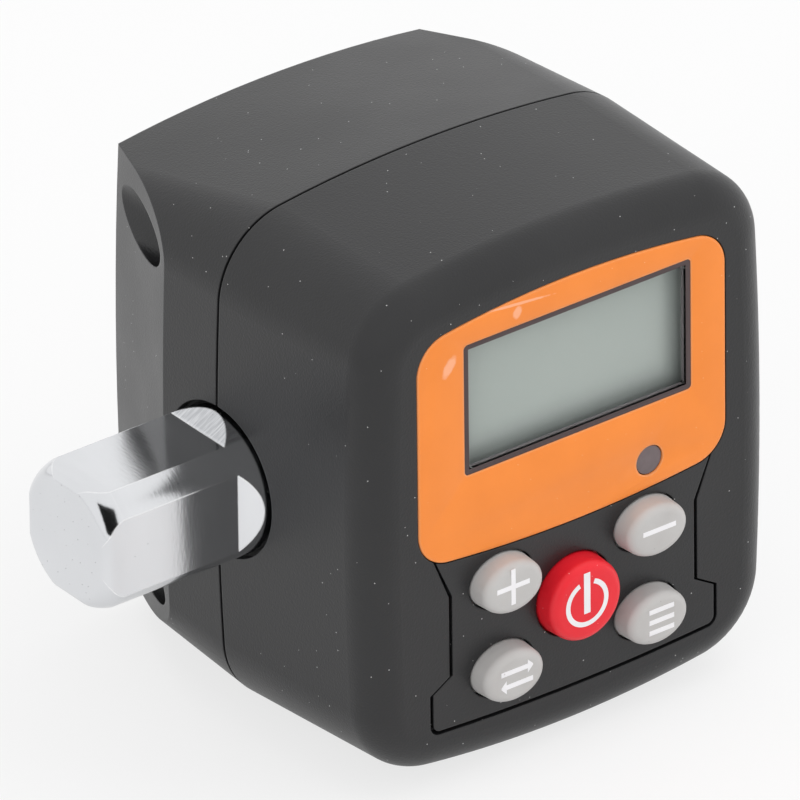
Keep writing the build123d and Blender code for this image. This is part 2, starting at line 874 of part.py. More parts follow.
foot_y = tray_floor_y + contact_thickness / 2
strip_plane = Plane(origin=(mid_x, 0, -contact_width / 2))
with BuildPart() as negative_contact:
    with BuildSketch(strip_plane):
        with BuildLine():
            Polyline(
                (-contact_reach, foot_y),
                (-contact_reach / 2, foot_y),
                (0, cell_front_y - contact_thickness / 2),
                (contact_reach / 4, cell_front_y - contact_thickness / 2),
            )
        trace(line_width=contact_thickness)
    extrude(amount=contact_width)
negative_contact.part.label = "negative_contact"
export_step(negative_contact.part, "parts/negative_contact.step")

side_x = cell_radius + contact_thickness / 2
with BuildPart() as positive_contact:
    with BuildSketch(strip_plane):
        with BuildLine():
            Polyline((side_x - contact_reach / 3, foot_y), (side_x, foot_y), (side_x, tray_back_y))
        trace(line_width=contact_thickness)
    extrude(amount=contact_width)
positive_contact.part.label = "positive_contact"
export_step(positive_contact.part, "parts/positive_contact.step")

battery_lead_z = -(barrel_radius + boss_wall + 2 * lead_radius)
with BuildPart() as battery_leads:
    with BuildSketch(at_depth(tray_front_y)):
        with Locations((-lead_spread, battery_lead_z), (-2 * lead_spread, battery_lead_z)):
            Circle(lead_radius)
    extrude(amount=tray_front_y - board_back_y)
battery_leads.part.label = "battery_leads"
export_step(battery_leads.part, "parts/battery_leads.step")

# Battery door
with BuildPart() as battery_door:
    extrude(door_outline(back_y), amount=door_thickness)
    with BuildSketch(at_depth(back_y)):
        with Locations((0, door_screw_z)):
            Circle(door_screw_head_radius + door_screw_fit)
    extrude(amount=door_screw_head, mode=Mode.SUBTRACT)
    with BuildSketch(at_depth(back_y)):
        with Locations((0, door_screw_z)):
            Circle(door_screw_radius + door_screw_fit)
    extrude(amount=door_thickness, mode=Mode.SUBTRACT)
    with BuildSketch(at_depth(back_y)):
        with Locations((0, door_bottom + 2 * door_corner)):
            SlotOverall(door_grip_width, door_grip_height)
    extrude(amount=door_grip_depth, mode=Mode.SUBTRACT)
battery_door.part.label = "battery_door"
export_step(battery_door.part, "parts/battery_door.step")

with BuildPart() as battery_door_seal:
    seal_y = back_y - door_thickness
    extrude(door_outline(seal_y), amount=door_seal_height)
    extrude(door_outline(seal_y, -door_seal_width), amount=door_seal_height, mode=Mode.SUBTRACT)
battery_door_seal.part.label = "battery_door_seal"
export_step(battery_door_seal.part, "parts/battery_door_seal.step")


def screw_solids(y, places, radius, length, head_radius, head):
    """Cross slotted screws whose heads seat at depth y and stand out towards the back."""
    with BuildPart() as screws:
        with BuildSketch(at_depth(y)):
            with Locations(*places):
                Circle(head_radius)
        extrude(amount=-head)
        with BuildSketch(at_depth(y)):
            with Locations(*places):
                Circle(radius)
        extrude(amount=length)
        with BuildSketch(at_depth(y + head)):
            with Locations(*places):
                Rectangle(head_radius * slot_share, slot_width)
                Rectangle(slot_width, head_radius * slot_share)
        extrude(amount=slot_depth, mode=Mode.SUBTRACT)
    return screws.part


case_screws = screw_solids(
    pocket_floor, case_screw_places, screw_radius, screw_length, screw_head_radius, screw_head
)
case_screws.label = "case_screws"
export_step(case_screws, "parts/case_screws.step")

board_screws = screw_solids(
    board_back_y,
    board_screw_places,
    board_screw_radius,
    board_screw_length,
    board_screw_head_radius,
    board_screw_head,
)
board_screws.label = "board_screws"
export_step(board_screws, "parts/board_screws.step")

battery_door_screw = screw_solids(
    back_y - door_screw_head,
    [(0, door_screw_z)],
    door_screw_radius,
    door_screw_length,
    door_screw_head_radius,
    door_screw_head,
)
battery_door_screw.label = "battery_door_screw"
export_step(battery_door_screw, "parts/battery_door_screw.step")
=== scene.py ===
import json
import math
import bmesh
import bpy
from mathutils import Matrix, Vector


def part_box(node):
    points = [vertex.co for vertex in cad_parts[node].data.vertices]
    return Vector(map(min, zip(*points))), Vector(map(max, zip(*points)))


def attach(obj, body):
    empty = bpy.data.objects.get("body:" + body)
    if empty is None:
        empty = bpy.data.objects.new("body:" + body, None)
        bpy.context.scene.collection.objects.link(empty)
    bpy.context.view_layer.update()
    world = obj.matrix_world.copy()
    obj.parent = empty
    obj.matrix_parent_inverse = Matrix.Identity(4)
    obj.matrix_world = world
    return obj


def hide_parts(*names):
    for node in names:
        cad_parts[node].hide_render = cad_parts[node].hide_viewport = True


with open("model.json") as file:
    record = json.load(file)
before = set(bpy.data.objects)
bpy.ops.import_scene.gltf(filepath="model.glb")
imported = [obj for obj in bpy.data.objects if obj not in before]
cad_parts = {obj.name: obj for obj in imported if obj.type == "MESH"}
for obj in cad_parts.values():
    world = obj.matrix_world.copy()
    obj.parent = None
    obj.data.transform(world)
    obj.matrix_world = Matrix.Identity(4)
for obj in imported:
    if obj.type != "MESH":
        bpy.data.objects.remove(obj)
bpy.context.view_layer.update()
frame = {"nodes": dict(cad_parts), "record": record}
nodes = frame["nodes"]
mm = 0.001
midX = -26.4  # the housing's middle, along the drive
facing = 0.99  # a face looks along an axis when more than this share of its normal does
merge = {"gap": 0.002, "flat": 0.8}  # corners this close, and faces within this angle, become one
print("frame loaded,", len(nodes), "nodes")


def chooseOnly(obj):
    if bpy.context.object and bpy.context.object.mode != "OBJECT":
        bpy.ops.object.mode_set(mode="OBJECT")
    bpy.ops.object.select_all(action="DESELECT")
    obj.select_set(True)
    bpy.context.view_layer.objects.active = obj


def settle(obj):  # the object goes to the origin, and its place into its mesh
    chooseOnly(obj)
    bpy.ops.object.transform_apply(location=True, rotation=True, scale=True)


def pick(obj, test):  # edit mode, with only the faces that pass the test selected
    chooseOnly(obj)
    bpy.ops.object.mode_set(mode="EDIT")
    bpy.ops.mesh.select_mode(type="FACE")
    bpy.ops.mesh.select_all(action="DESELECT")
    mesh = bmesh.from_edit_mesh(obj.data)
    mesh.faces.ensure_lookup_table()
    for face in mesh.faces:
        face.select_set(test(face))
    bmesh.update_edit_mesh(obj.data)


def leaveEdit():
    bpy.ops.object.mode_set(mode="OBJECT")


def extrudeBy(x, y, z):
    bpy.ops.mesh.extrude_region_move(TRANSFORM_OT_translate={"value": (x * mm, y * mm, z * mm)})


def resizeAbout(scale, center):
    bpy.ops.transform.resize(value=scale, center_override=[side * mm for side in center])


def soften(obj, width, angle=35):
    chooseOnly(obj)
    bevel = obj.modifiers.new("soften", "BEVEL")
    bevel.width = width * mm
    bevel.segments = 2
    bevel.limit_method = "ANGLE"
    bevel.angle_limit = math.radians(angle)
    bpy.ops.object.modifier_apply(modifier=bevel.name)


def smooth(obj, angle=30):
    chooseOnly(obj)
    bpy.ops.object.shade_smooth_by_angle(angle=math.radians(angle))


def block(name, low, high):
    bpy.ops.object.select_all(action="DESELECT")
    middle = [(a + b) / 2 * mm for a, b in zip(low, high)]
    bpy.ops.mesh.primitive_cube_add(size=1, location=middle)
    obj = bpy.context.object
    obj.name = name
    obj.scale = [(b - a) * mm for a, b in zip(low, high)]
    settle(obj)
    return obj


def joinAll(name, parts):
    chooseOnly(parts[0])
    for part in parts[1:]:
        part.select_set(True)
    bpy.ops.object.join()
    joined = bpy.context.object
    joined.name = name
    return joined


def mergedCopy(node, name):  # a CAD node's loose triangles, merged into one mesh that can be worked on
    piece = bpy.data.objects.new(name, nodes[node].data.copy())
    bpy.context.scene.collection.objects.link(piece)
    chooseOnly(piece)
    bpy.ops.mesh.customdata_custom_splitnormals_clear()
    bpy.ops.object.mode_set(mode="EDIT")
    bpy.ops.mesh.select_all(action="SELECT")
    bpy.ops.mesh.remove_doubles(threshold=merge["gap"] * mm)
    bpy.ops.mesh.dissolve_limited(angle_limit=math.radians(merge["flat"]))
    leaveEdit()
    return piece


def finishPiece(obj, body, material, slot, *replaced):
    obj.data.materials.clear()
    obj.data.materials.append(material)
    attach(obj, body)
    if replaced:
        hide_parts(*replaced)


# shader nodes

def wire(tree, node, inputs):  # a socket is linked, and a plain value is set
    for label, value in inputs.items():
        if isinstance(value, bpy.types.NodeSocket):
            tree.links.new(value, node.inputs[label])
        else:
            node.inputs[label].default_value = value
    return node


def addNode(tree, kind, inputs=None, **settings):
    node = tree.nodes.new("ShaderNode" + kind)
    for setting, value in settings.items():
        setattr(node, setting, value)
    return wire(tree, node, inputs or {})


def mathNode(tree, operation, *values, clamp=False):
    node = addNode(tree, "Math", dict(enumerate(values)), operation=operation, use_clamp=clamp)
    return node.outputs[0]


def emptyTree(owner):
    owner.use_nodes = True
    owner.node_tree.nodes.clear()
    return owner.node_tree


def mixShaders(tree, share, first, second, output):
    mix = addNode(tree, "MixShader", {"Fac": share, 1: first, 2: second})
    wire(tree, output, {"Surface": mix.outputs[0]})


# camera

view = {
    "azimuth": -36.99,
    "elevation": 30.03,
    "roll": -0.0118,  # radians
    "distance": 2.3094,  # metres, as are the two shifts below
    "across": -0.00281,
    "upward": -0.00025,
    "lens": 1080.7,
    "sensor": 36,
    "clipEnd": 20,
}
az, el = math.radians(view["azimuth"]), math.radians(view["elevation"])
towards = Vector((math.sin(az) * math.cos(el), -math.cos(az) * math.cos(el), math.sin(el)))
right = Vector((math.cos(az), math.sin(az), 0))
up = towards.cross(right)
rightTurned = right * math.cos(view["roll"]) + up * math.sin(view["roll"])
upTurned = up * math.cos(view["roll"]) - right * math.sin(view["roll"])
bpy.ops.object.camera_add()
camera = bpy.context.object
camera.name = "camera"
aim = Vector((midX * mm, 0, 0))
spot = aim + towards * view["distance"] + rightTurned * view["across"] + upTurned * view["upward"]
cameraTurn = Matrix((rightTurned, upTurned, towards)).transposed().to_4x4()
camera.matrix_world = Matrix.Translation(spot) @ cameraTurn
camera.data.lens = view["lens"]
camera.data.sensor_width = view["sensor"]
camera.data.clip_end = view["clipEnd"]
bpy.context.scene.camera = camera
bpy.context.scene.view_settings.view_transform = "Standard"
print("camera placed")


# lamps, floor and background

studio = {
    "skyLight": 0.6,
    "floorZ": -27.85,
    "floorSize": 8,  # metres
    "floorWhite": 0.86,
    "floorSeen": 0.75,  # the share of plain white that the camera sees
    "floorMirrored": 0.5,  # and the share that gloss and the pane see
    "lamps": {  # metres and watts
        "keyRight": {"at": (0.50, -0.52, 0.58), "size": 1.7, "power": 6.8},
        "fillLeft": {"at": (-0.72, -0.36, 0.42), "size": 0.95, "power": 2.2},
        "overhead": {"at": (0.12, 0.10, 0.80), "size": 1.0, "power": 3.0},
    },
}
white = (1, 1, 1, 1)


def pointAt(obj, target):
    obj.rotation_euler = (target - obj.location).to_track_quat("-Z", "Y").to_euler()


for name, lamp in studio["lamps"].items():
    bpy.ops.object.light_add(type="AREA", location=lamp["at"])
    light = bpy.context.object
    light.name = name
    light.data.energy = lamp["power"]
    light.data.size = lamp["size"]
    light.visible_glossy = False
    pointAt(light, aim)

# the sky is white where it is seen, and softer as a light
world = bpy.data.worlds.new("studio")
bpy.context.scene.world = world
tree = emptyTree(world)
rays = addNode(tree, "LightPath").outputs
softSky = addNode(tree, "Background", {"Strength": studio["skyLight"]})
whiteSky = addNode(tree, "Background", {"Color": white})
straight = mathNode(tree, "ADD", rays["Is Camera Ray"], rays["Is Glossy Ray"])
seen = mathNode(tree, "ADD", straight, rays["Is Transmission Ray"], clamp=True)
mixShaders(tree, seen, softSky.outputs[0], whiteSky.outputs[0], addNode(tree, "OutputWorld"))

bpy.ops.mesh.primitive_plane_add(size=studio["floorSize"], location=(0, 0, studio["floorZ"] * mm))
floor = bpy.context.object
floor.name = "floor"
floorPaper = bpy.data.materials.new("floorPaper")
tree = emptyTree(floorPaper)
rays = addNode(tree, "LightPath").outputs
litPaper = addNode(tree, "BsdfDiffuse", {"Color": (studio["floorWhite"],) * 3 + (1,)})
whitePaper = addNode(tree, "Emission", {"Color": white})
straight = mathNode(tree, "MULTIPLY", rays["Is Camera Ray"], studio["floorSeen"])
bent = mathNode(tree, "ADD", rays["Is Glossy Ray"], rays["Is Transmission Ray"])
seen = mathNode(tree, "MULTIPLY_ADD", bent, studio["floorMirrored"], straight)
mixShaders(tree, seen, litPaper.outputs[0], whitePaper.outputs[0], addNode(tree, "OutputMaterial"))
floor.data.materials.append(floorPaper)

# a dark card stands for the unlit side of the room, and only the gloss of the shaft's tip meets it
darkCard = {
    "at": (-1.35, -1.75, 1.35),
    "size": 2.1,
    "color": (0.01, 0.01, 0.01, 1),
    "seenFrom": -0.06,  # metres along the drive: rays from right of this pass through
}
bpy.ops.mesh.primitive_plane_add(size=darkCard["size"], location=darkCard["at"])
card = bpy.context.object
card.name = "darkCard"
pointAt(card, Vector((0, 0, 0)))
card.visible_camera = card.visible_diffuse = card.visible_shadow = card.visible_transmission = False
cardBlack = bpy.data.materials.new("cardBlack")
tree = emptyTree(cardBlack)
rays = addNode(tree, "LightPath").outputs
point = addNode(tree, "NewGeometry").outputs
rayStart = addNode(
    tree,
    "VectorMath",
    {0: point["Incoming"], 1: rays["Ray Length"], 2: point["Position"]},
    operation="MULTIPLY_ADD",
)
startAxes = addNode(tree, "SeparateXYZ", {0: rayStart.outputs["Vector"]}).outputs
fromTip = mathNode(tree, "LESS_THAN", startAxes["X"], darkCard["seenFrom"])
clear = addNode(tree, "BsdfTransparent")
black = addNode(tree, "BsdfPrincipled", {"Base Color": darkCard["color"], "Roughness": 1})
mixShaders(tree, fromTip, clear.outputs[0], black.outputs[0], addNode(tree, "OutputMaterial"))
card.data.materials.append(cardBlack)
print("studio lit")


# effects that several finishes share

colorSockets = {"first": 6, "second": 7, "mixed": 2}  # of a Mix node


def startGroup(name, inputs, outputs):  # each socket is a label, a kind and perhaps a value
    group = bpy.data.node_groups.new(name, "ShaderNodeTree")
    for way, sockets in (("INPUT", inputs), ("OUTPUT", outputs)):
        for label, kind, *value in sockets:
            socket = group.interface.new_socket(label, in_out=way, socket_type="NodeSocket" + kind)
            if value:
                socket.default_value = value[0]
    return group, group.nodes.new("NodeGroupInput").outputs, group.nodes.new("NodeGroupOutput")


def place(tree, group, **values):
    return wire(tree, addNode(tree, "Group", node_tree=group), values)


def fade(tree, value, low, high, start=0.0, end=1.0):
    ends = {"From Min": low, "From Max": high, "To Min": start, "To Max": end}
    return addNode(tree, "MapRange", {"Value": value, **ends}).outputs["Result"]


def blendColor(tree, mask, first, second):
    first, second = (color + (1,) if isinstance(color, tuple) else color for color in (first, second))
    colors = {colorSockets["first"]: first, colorSockets["second"]: second}
    node = addNode(tree, "Mix", {"Factor": mask, **colors}, data_type="RGBA")
    return node.outputs[colorSockets["mixed"]]


# fine moulded grain, and the slow unevenness of a moulded face
mouldedGrain, given, result = startGroup(
    "mouldedGrain",
    [("Vector", "Vector"), ("Grain", "Float", 3500), ("Drift", "Float", 60)],
    [("Height", "Float"), ("Mottle", "Float")],
)
grain = addNode(mouldedGrain, "TexNoise", {"Vector": given["Vector"], "Scale": given["Grain"], "Detail": 2})
drift = addNode(mouldedGrain, "TexNoise", {"Vector": given["Vector"], "Scale": given["Drift"], "Detail": 3})
wire(mouldedGrain, result, {"Height": grain.outputs["Fac"], "Mottle": drift.outputs["Fac"]})

# loose dust: small round specks, only in some of the cells
dustSpecks, given, result = startGroup(
    "dustSpecks",
    [("Vector", "Vector"), ("Cells", "Float", 450), ("Share", "Float", 0.1), ("Size", "Float", 0.05)],
    [("Mask", "Float")],
)
cells = addNode(dustSpecks, "TexVoronoi", {"Vector": given["Vector"], "Scale": given["Cells"]})
chance = addNode(dustSpecks, "SeparateColor", {"Color": cells.outputs["Color"]})
near = mathNode(dustSpecks, "LESS_THAN", cells.outputs["Distance"], given["Size"])
picked = mathNode(dustSpecks, "LESS_THAN", chance.outputs[0], given["Share"])
wire(dustSpecks, result, {"Mask": mathNode(dustSpecks, "MULTIPLY", near, picked)})

# edges: a rounded normal, and where the surface turns sharply
edgeCatch, given, result = startGroup(
    "edgeCatch",
    [("Radius", "Float", 0.0002), ("Gain", "Float", 6)],
    [("Mask", "Float"), ("Normal", "Vector")],
)
rounded = addNode(edgeCatch, "Bevel", {"Radius": given["Radius"]}, samples=4).outputs["Normal"]
surface = addNode(edgeCatch, "NewGeometry").outputs["Normal"]
lean = addNode(edgeCatch, "VectorMath", {0: rounded, 1: surface}, operation="DOT_PRODUCT")
turned = mathNode(edgeCatch, "SUBTRACT", 1.0, lean.outputs["Value"])
caught = mathNode(edgeCatch, "MULTIPLY", turned, given["Gain"], clamp=True)
wire(edgeCatch, result, {"Mask": caught, "Normal": rounded})


# finishes

mottleRange = (0.3, 0.7)  # the slow unevenness seldom leaves this range


def startFinish(name):
    finish = bpy.data.materials.new(name)
    tree = emptyTree(finish)
    shader = addNode(tree, "BsdfPrincipled")
    addNode(tree, "OutputMaterial", {"Surface": shader.outputs["BSDF"]})
    return finish, tree, shader, addNode(tree, "TexCoord").outputs["Object"]


def dressShader(tree, shader, texture, look):  # sets roughness and relief, and gives the color so far
    edge = place(tree, edgeCatch, Radius=look["edge"], Gain=look["edgeGain"])
    mottle = texture.outputs["Mottle"]
    relief = addNode(
        tree,
        "Bump",
        {
            "Strength": 1,
            "Distance": look["depth"],
            "Height": texture.outputs["Height"],
            "Normal": edge.outputs["Normal"],
        },
    )
    roughness = fade(tree, mottle, *mottleRange, *look["roughness"])
    wire(tree, shader, {"Roughness": roughness, "Normal": relief.outputs["Normal"]})
    color = blendColor(tree, fade(tree, mottle, *mottleRange), look["dark"], look["light"])
    # sharp edges take the look's edge colour; where that is lighter than the face, it is a painted edge
    # highlight
    return blendColor(tree, edge.outputs["Mask"], color, look["edgeColor"])


def mouldedFinish(name, look):
    finish, tree, shader, coords = startFinish(name)
    texture = place(tree, mouldedGrain, Vector=coords, Grain=look["grain"], Drift=look["drift"])
    color = dressShader(tree, shader, texture, look)
    if look["dust"]:
        cells, size = look["dustCells"], look["dustSize"]
        dust = place(tree, dustSpecks, Vector=coords, Cells=cells, Share=look["dust"], Size=size)
        color = blendColor(tree, dust.outputs["Mask"], color, look["dustColor"])
    wire(tree, shader, {"Base Color": color, "Specular IOR Level": look["specular"]})
    return finish


def metalFinish(name, look):
    finish, tree, shader, coords = startFinish(name)
    lay = addNode(tree, "Mapping", {"Vector": coords, "Scale": look["lay"]})
    ridges = place(tree, mouldedGrain, Vector=lay.outputs["Vector"], Grain=1, Drift=look["drift"])
    color = dressShader(tree, shader, ridges, look)
    cells, size = look["pitCells"], look["pitSize"]
    pits = place(tree, dustSpecks, Vector=coords, Cells=cells, Share=look["pits"], Size=size)
    color = blendColor(tree, pits.outputs["Mask"], color, look["pitColor"])
    wire(tree, shader, {"Base Color": color, "Metallic": 1})
    return finish


shellLook = {
    "dark": (0.009, 0.009, 0.010),
    "light": (0.014, 0.014, 0.015),
    "edgeColor": (0.026, 0.026, 0.028),
    "roughness": (0.32, 0.40),
    "specular": 0.5,
    "grain": 4500,
    "drift": 70,
    "depth": 0.00003,
    "edge": 0.00022,
    "edgeGain": 3,
    "dust": 0.45,
    "dustCells": 900,
    "dustSize": 0.055,
    "dustColor": (0.55, 0.55, 0.55),
}
rubberLook = dict(
    shellLook,
    dark=(0.012, 0.012, 0.012),
    light=(0.018, 0.018, 0.018),
    edgeColor=(0.02, 0.02, 0.02),
    roughness=(0.6, 0.75),
    dust=0,
)
innerLook = dict(
    shellLook,
    dark=(0.04, 0.04, 0.04),
    light=(0.055, 0.055, 0.055),
    edgeColor=(0.07, 0.07, 0.07),
    dust=0,
)
keyLook = {
    "dark": (0.50, 0.485, 0.475),
    "light": (0.55, 0.54, 0.53),
    "edgeColor": (0.58, 0.57, 0.56),
    "roughness": (0.42, 0.52),
    "specular": 0.4,
    "grain": 6000,
    "drift": 250,
    "depth": 0.00001,
    "edge": 0.0001,
    "edgeGain": 2,
    "dust": 0.25,
    "dustCells": 1300,
    "dustSize": 0.055,
    "dustColor": (0.30, 0.28, 0.28),
}
redLook = dict(
    keyLook,
    dark=(0.80, 0.012, 0.025),
    light=(0.88, 0.018, 0.032),
    edgeColor=(0.90, 0.035, 0.05),
    roughness=(0.3, 0.4),
    dustColor=(0.85, 0.45, 0.45),
)
printLook = dict(
    keyLook,
    dark=(0.86, 0.85, 0.87),
    light=(0.92, 0.91, 0.93),
    edgeColor=(0.85, 0.84, 0.86),
    roughness=(0.35, 0.45),
    edge=0.00003,
    dust=0.06,
    dustCells=1500,
    dustSize=0.12,
    dustColor=(0.62, 0.58, 0.6),
)
labelLook = dict(
    keyLook,
    dark=(0.90, 0.250, 0.030),
    light=(0.95, 0.270, 0.036),
    # painted highlight along the label's rim, together with a little pale edge wear
    edgeColor=(1.0, 0.44, 0.20),
    roughness=(0.3, 0.4),
    edge=0.0004,
    edgeGain=5,
    grain=7000,
    drift=180,
    dust=0.2,
    dustColor=(1.0, 0.6, 0.35),
)
displayLook = dict(
    keyLook,
    dark=(0.38, 0.425, 0.40),
    light=(0.40, 0.44, 0.415),
    edgeColor=(0.4, 0.43, 0.4),
    roughness=(0.2, 0.25),
    drift=60,
    depth=0.000001,
    dust=0,
)
borderLook = dict(
    keyLook,
    dark=(0.055, 0.035, 0.036),
    light=(0.07, 0.045, 0.046),
    edgeColor=(0.13, 0.09, 0.09),
    roughness=(0.35, 0.45),
    dust=0.1,
)
lampLook = dict(
    keyLook,
    dark=(0.12, 0.095, 0.10),
    light=(0.16, 0.125, 0.13),
    edgeColor=(0.2, 0.16, 0.16),
    roughness=(0.15, 0.2),
    drift=600,
    dust=0,
)
boardLook = dict(
    keyLook,
    dark=(0.02, 0.15, 0.05),
    light=(0.03, 0.2, 0.07),
    edgeColor=(0.2, 0.2, 0.1),
    roughness=(0.25, 0.35),
    drift=500,
    dust=0,
)
foilLook = dict(
    keyLook,
    dark=(0.55, 0.30, 0.07),
    light=(0.7, 0.42, 0.1),
    edgeColor=(0.75, 0.5, 0.15),
    roughness=(0.25, 0.35),
    dust=0,
)
leadLook = dict(
    keyLook,
    dark=(0.5, 0.03, 0.025),
    light=(0.6, 0.045, 0.035),
    edgeColor=(0.6, 0.06, 0.05),
    dust=0,
)
chromeLook = {
    "dark": (0.71, 0.72, 0.74),
    "light": (0.79, 0.80, 0.82),
    # painted highlight: the shaft's sharp edges are painted white
    "edgeColor": (1.0, 1.0, 1.0),
    "roughness": (0.10, 0.17),
    "lay": (3600, 900, 900),  # the grain's cells per metre, along each axis
    "drift": 0.05,
    "depth": 0.000003,
    "edge": 0.0002,
    "edgeGain": 12,
    "pits": 0.35,
    "pitCells": 1200,
    "pitSize": 0.06,
    "pitColor": (0.15, 0.15, 0.16),
}
steelLook = dict(
    chromeLook,
    dark=(0.55, 0.55, 0.57),
    light=(0.61, 0.61, 0.63),
    edgeColor=(0.7, 0.7, 0.72),
    roughness=(0.2, 0.3),
    lay=(3000, 3000, 3000),
    pits=0,
)
screwLook = dict(
    chromeLook,
    dark=(0.27, 0.27, 0.29),
    light=(0.33, 0.33, 0.35),
    edgeColor=(0.45, 0.45, 0.47),
    roughness=(0.3, 0.4),
    lay=(2500, 2500, 2500),
    pits=0,
)
contactLook = dict(
    chromeLook,
    dark=(0.68, 0.56, 0.31),
    light=(0.76, 0.64, 0.37),
    edgeColor=(0.85, 0.75, 0.5),
    roughness=(0.2, 0.32),
    lay=(2500, 2500, 2500),
    pits=0,
)

finishes = {
    "shell": mouldedFinish("shellPlastic", shellLook),
    "shaft": metalFinish("shaftChrome", chromeLook),
    "steel": metalFinish("plainSteel", steelLook),
    "screw": metalFinish("screwSteel", screwLook),
    "seal": mouldedFinish("sealRubber", rubberLook),
    "label": mouldedFinish("labelOrange", labelLook),
    "display": mouldedFinish("displayGlass", displayLook),
    "border": mouldedFinish("borderPlastic", borderLook),
    "lamp": mouldedFinish("lampPlastic", lampLook),
    "grey_key": mouldedFinish("greyKey", keyLook),
    "red_key": mouldedFinish("redKey", redLook),
    "print": mouldedFinish("whitePrint", printLook),
    "inner_plastic": mouldedFinish("innerPlastic", innerLook),
    "board": mouldedFinish("boardGreen", boardLook),
    "gauge_foil": mouldedFinish("gaugeFoil", foilLook),
    "lead": mouldedFinish("leadInsulation", leadLook),
    "contact": metalFinish("contactBrass", contactLook),
}


def reopen(name):
    tree = finishes[name].node_tree
    return tree, tree.nodes["Texture Coordinate"].outputs["Object"]


def axesOf(tree, coords):
    return addNode(tree, "SeparateXYZ", {0: coords}).outputs


def fadeAlong(tree, axis, ends):  # from the first place to the second, in millimetres
    return fade(tree, axis, *(end * mm for end in ends))


def overlay(name, mask, look):  # a second color over a finish, where the mask says
    tree = finishes[name].node_tree
    shader = tree.nodes["Principled BSDF"]
    plain = shader.inputs["Base Color"].links[0].from_socket
    cover = mathNode(tree, "MULTIPLY", mask, look["share"], clamp=True)
    wire(tree, shader, {"Base Color": blendColor(tree, cover, plain, look["color"])})


# painted shade from the window's rim: the display darkens softly towards its right and lower edges
displayShade = {
    "right": (-14.9, -11.7),
    "base": (9.8, 6.1),
    "color": (0.10, 0.10, 0.11),
    "share": 0.36,
}
tree, coords = reopen("display")
axes = axesOf(tree, coords)
shadeToRight = fadeAlong(tree, axes["X"], displayShade["right"])
shadeToBase = fadeAlong(tree, axes["Z"], displayShade["base"])
overlay("display", mathNode(tree, "MAXIMUM", shadeToRight, shadeToBase), displayShade)

# the shaft's upper run-out keeps the cutter's marks; it is painted greyer than the flats, a painted darker
# reflection broken up by those marks
runOutReflection = {
    "from": (-54.3, -54.1),
    "above": (6.3, 6.5),
    "marks": (500, 5200, 500),
    "markDepths": (0.3, 0.6),
    "markLeast": 0.4,  # the share of grey between the marks
    "color": (0.40, 0.41, 0.43),
    "share": 0.75,
}
tree, coords = reopen("shaft")
axes = axesOf(tree, coords)
cutLay = addNode(tree, "Mapping", {"Vector": coords, "Scale": runOutReflection["marks"]})
cuts = place(tree, mouldedGrain, Vector=cutLay.outputs["Vector"], Grain=1)
cutMarks = fade(tree, cuts.outputs["Height"], *runOutReflection["markDepths"], runOutReflection["markLeast"])
inward = fadeAlong(tree, axes["X"], runOutReflection["from"])
upward = fadeAlong(tree, axes["Z"], runOutReflection["above"])
within = mathNode(tree, "MULTIPLY", inward, upward)
overlay("shaft", mathNode(tree, "MULTIPLY", within, cutMarks), runOutReflection)

# the window border is dark in front; its walls are painted lighter, a painted glow standing for the light
# that comes through the pane
borderWallLight = {"from": (-22.54, -22.3), "color": (0.17, 0.15, 0.16), "share": 1}
tree, coords = reopen("border")
overlay("border", fadeAlong(tree, axesOf(tree, coords)["Y"], borderWallLight["from"]), borderWallLight)

# the label's two scuffs and the worn stretch of its top edge
labelWear = {
    "scuffs": [  # middle across and up, half length, half width and tilt
        (-41.1, 18.8, 1.05, 0.55, 55),
        (-32.9, 21.9, 0.6, 0.45, 70),
        (-32.6, 22.8, 3.4, 0.14, -5.6),
    ],
    "face": -22.65,
    "fadeOut": (1.25, 0.85),  # in half sizes of a scuff
    "ragged": 0.35,
    "raggedScale": 1600,
    "color": (1.0, 0.47, 0.27),
    "share": 0.8,
}
tree, coords = reopen("label")
ragged = addNode(tree, "TexNoise", {"Vector": coords, "Scale": labelWear["raggedScale"], "Detail": 3})
raggedEdge = mathNode(tree, "MULTIPLY", ragged.outputs["Fac"], labelWear["ragged"] * 2)
worn = 0
for x, z, halfLong, halfWide, tilt in labelWear["scuffs"]:
    scuff = {
        "Vector": coords,
        "Location": (x * mm, labelWear["face"] * mm, z * mm),
        "Rotation": (0, -math.radians(tilt), 0),
        "Scale": (halfLong * mm, mm, halfWide * mm),
    }
    scuffPlace = addNode(tree, "Mapping", scuff, vector_type="TEXTURE").outputs["Vector"]
    away = addNode(tree, "VectorMath", {0: scuffPlace}, operation="LENGTH").outputs["Value"]
    scuffEdge = mathNode(tree, "ADD", away, raggedEdge)
    scuffMask = fade(tree, scuffEdge, *(end + labelWear["ragged"] for end in labelWear["fadeOut"]))
    worn = mathNode(tree, "MAXIMUM", worn, scuffMask)
overlay("label", worn, labelWear)

# clear pane: it lets the lamps through to the display
paneLook = {
    "dark": (0.96, 0.97, 0.96),
    "light": (0.99, 0.99, 0.99),
    "roughness": (0.02, 0.06),
    "smears": 150,
    "bending": 1.06,
}
pane, tree, shader, coords = startFinish("clearPane")
smear = place(tree, mouldedGrain, Vector=coords, Drift=paneLook["smears"]).outputs["Mottle"]
paneInputs = {
    "Base Color": blendColor(tree, smear, paneLook["dark"], paneLook["light"]),
    "Roughness": fade(tree, smear, *mottleRange, *paneLook["roughness"]),
    "Transmission Weight": 1,
    "IOR": paneLook["bending"],
}
wire(tree, shader, paneInputs)
rays = addNode(tree, "LightPath").outputs
soft = mathNode(tree, "ADD", rays["Is Shadow Ray"], rays["Is Diffuse Ray"], clamp=True)
through = addNode(tree, "BsdfTransparent")
mixShaders(tree, soft, shader.outputs["BSDF"], through.outputs["BSDF"], tree.nodes["Material Output"])
finishes["pane"] = pane

slotOf = {row["node"]: row["material_slot"] for row in frame["record"]["subparts"]}
for name, node in nodes.items():
    node.data.materials.clear()
    node.data.materials.append(finishes[slotOf[name]])
print("finishes made")


# keys: moulded caps on a flange, round on their rims and nearly flat on top

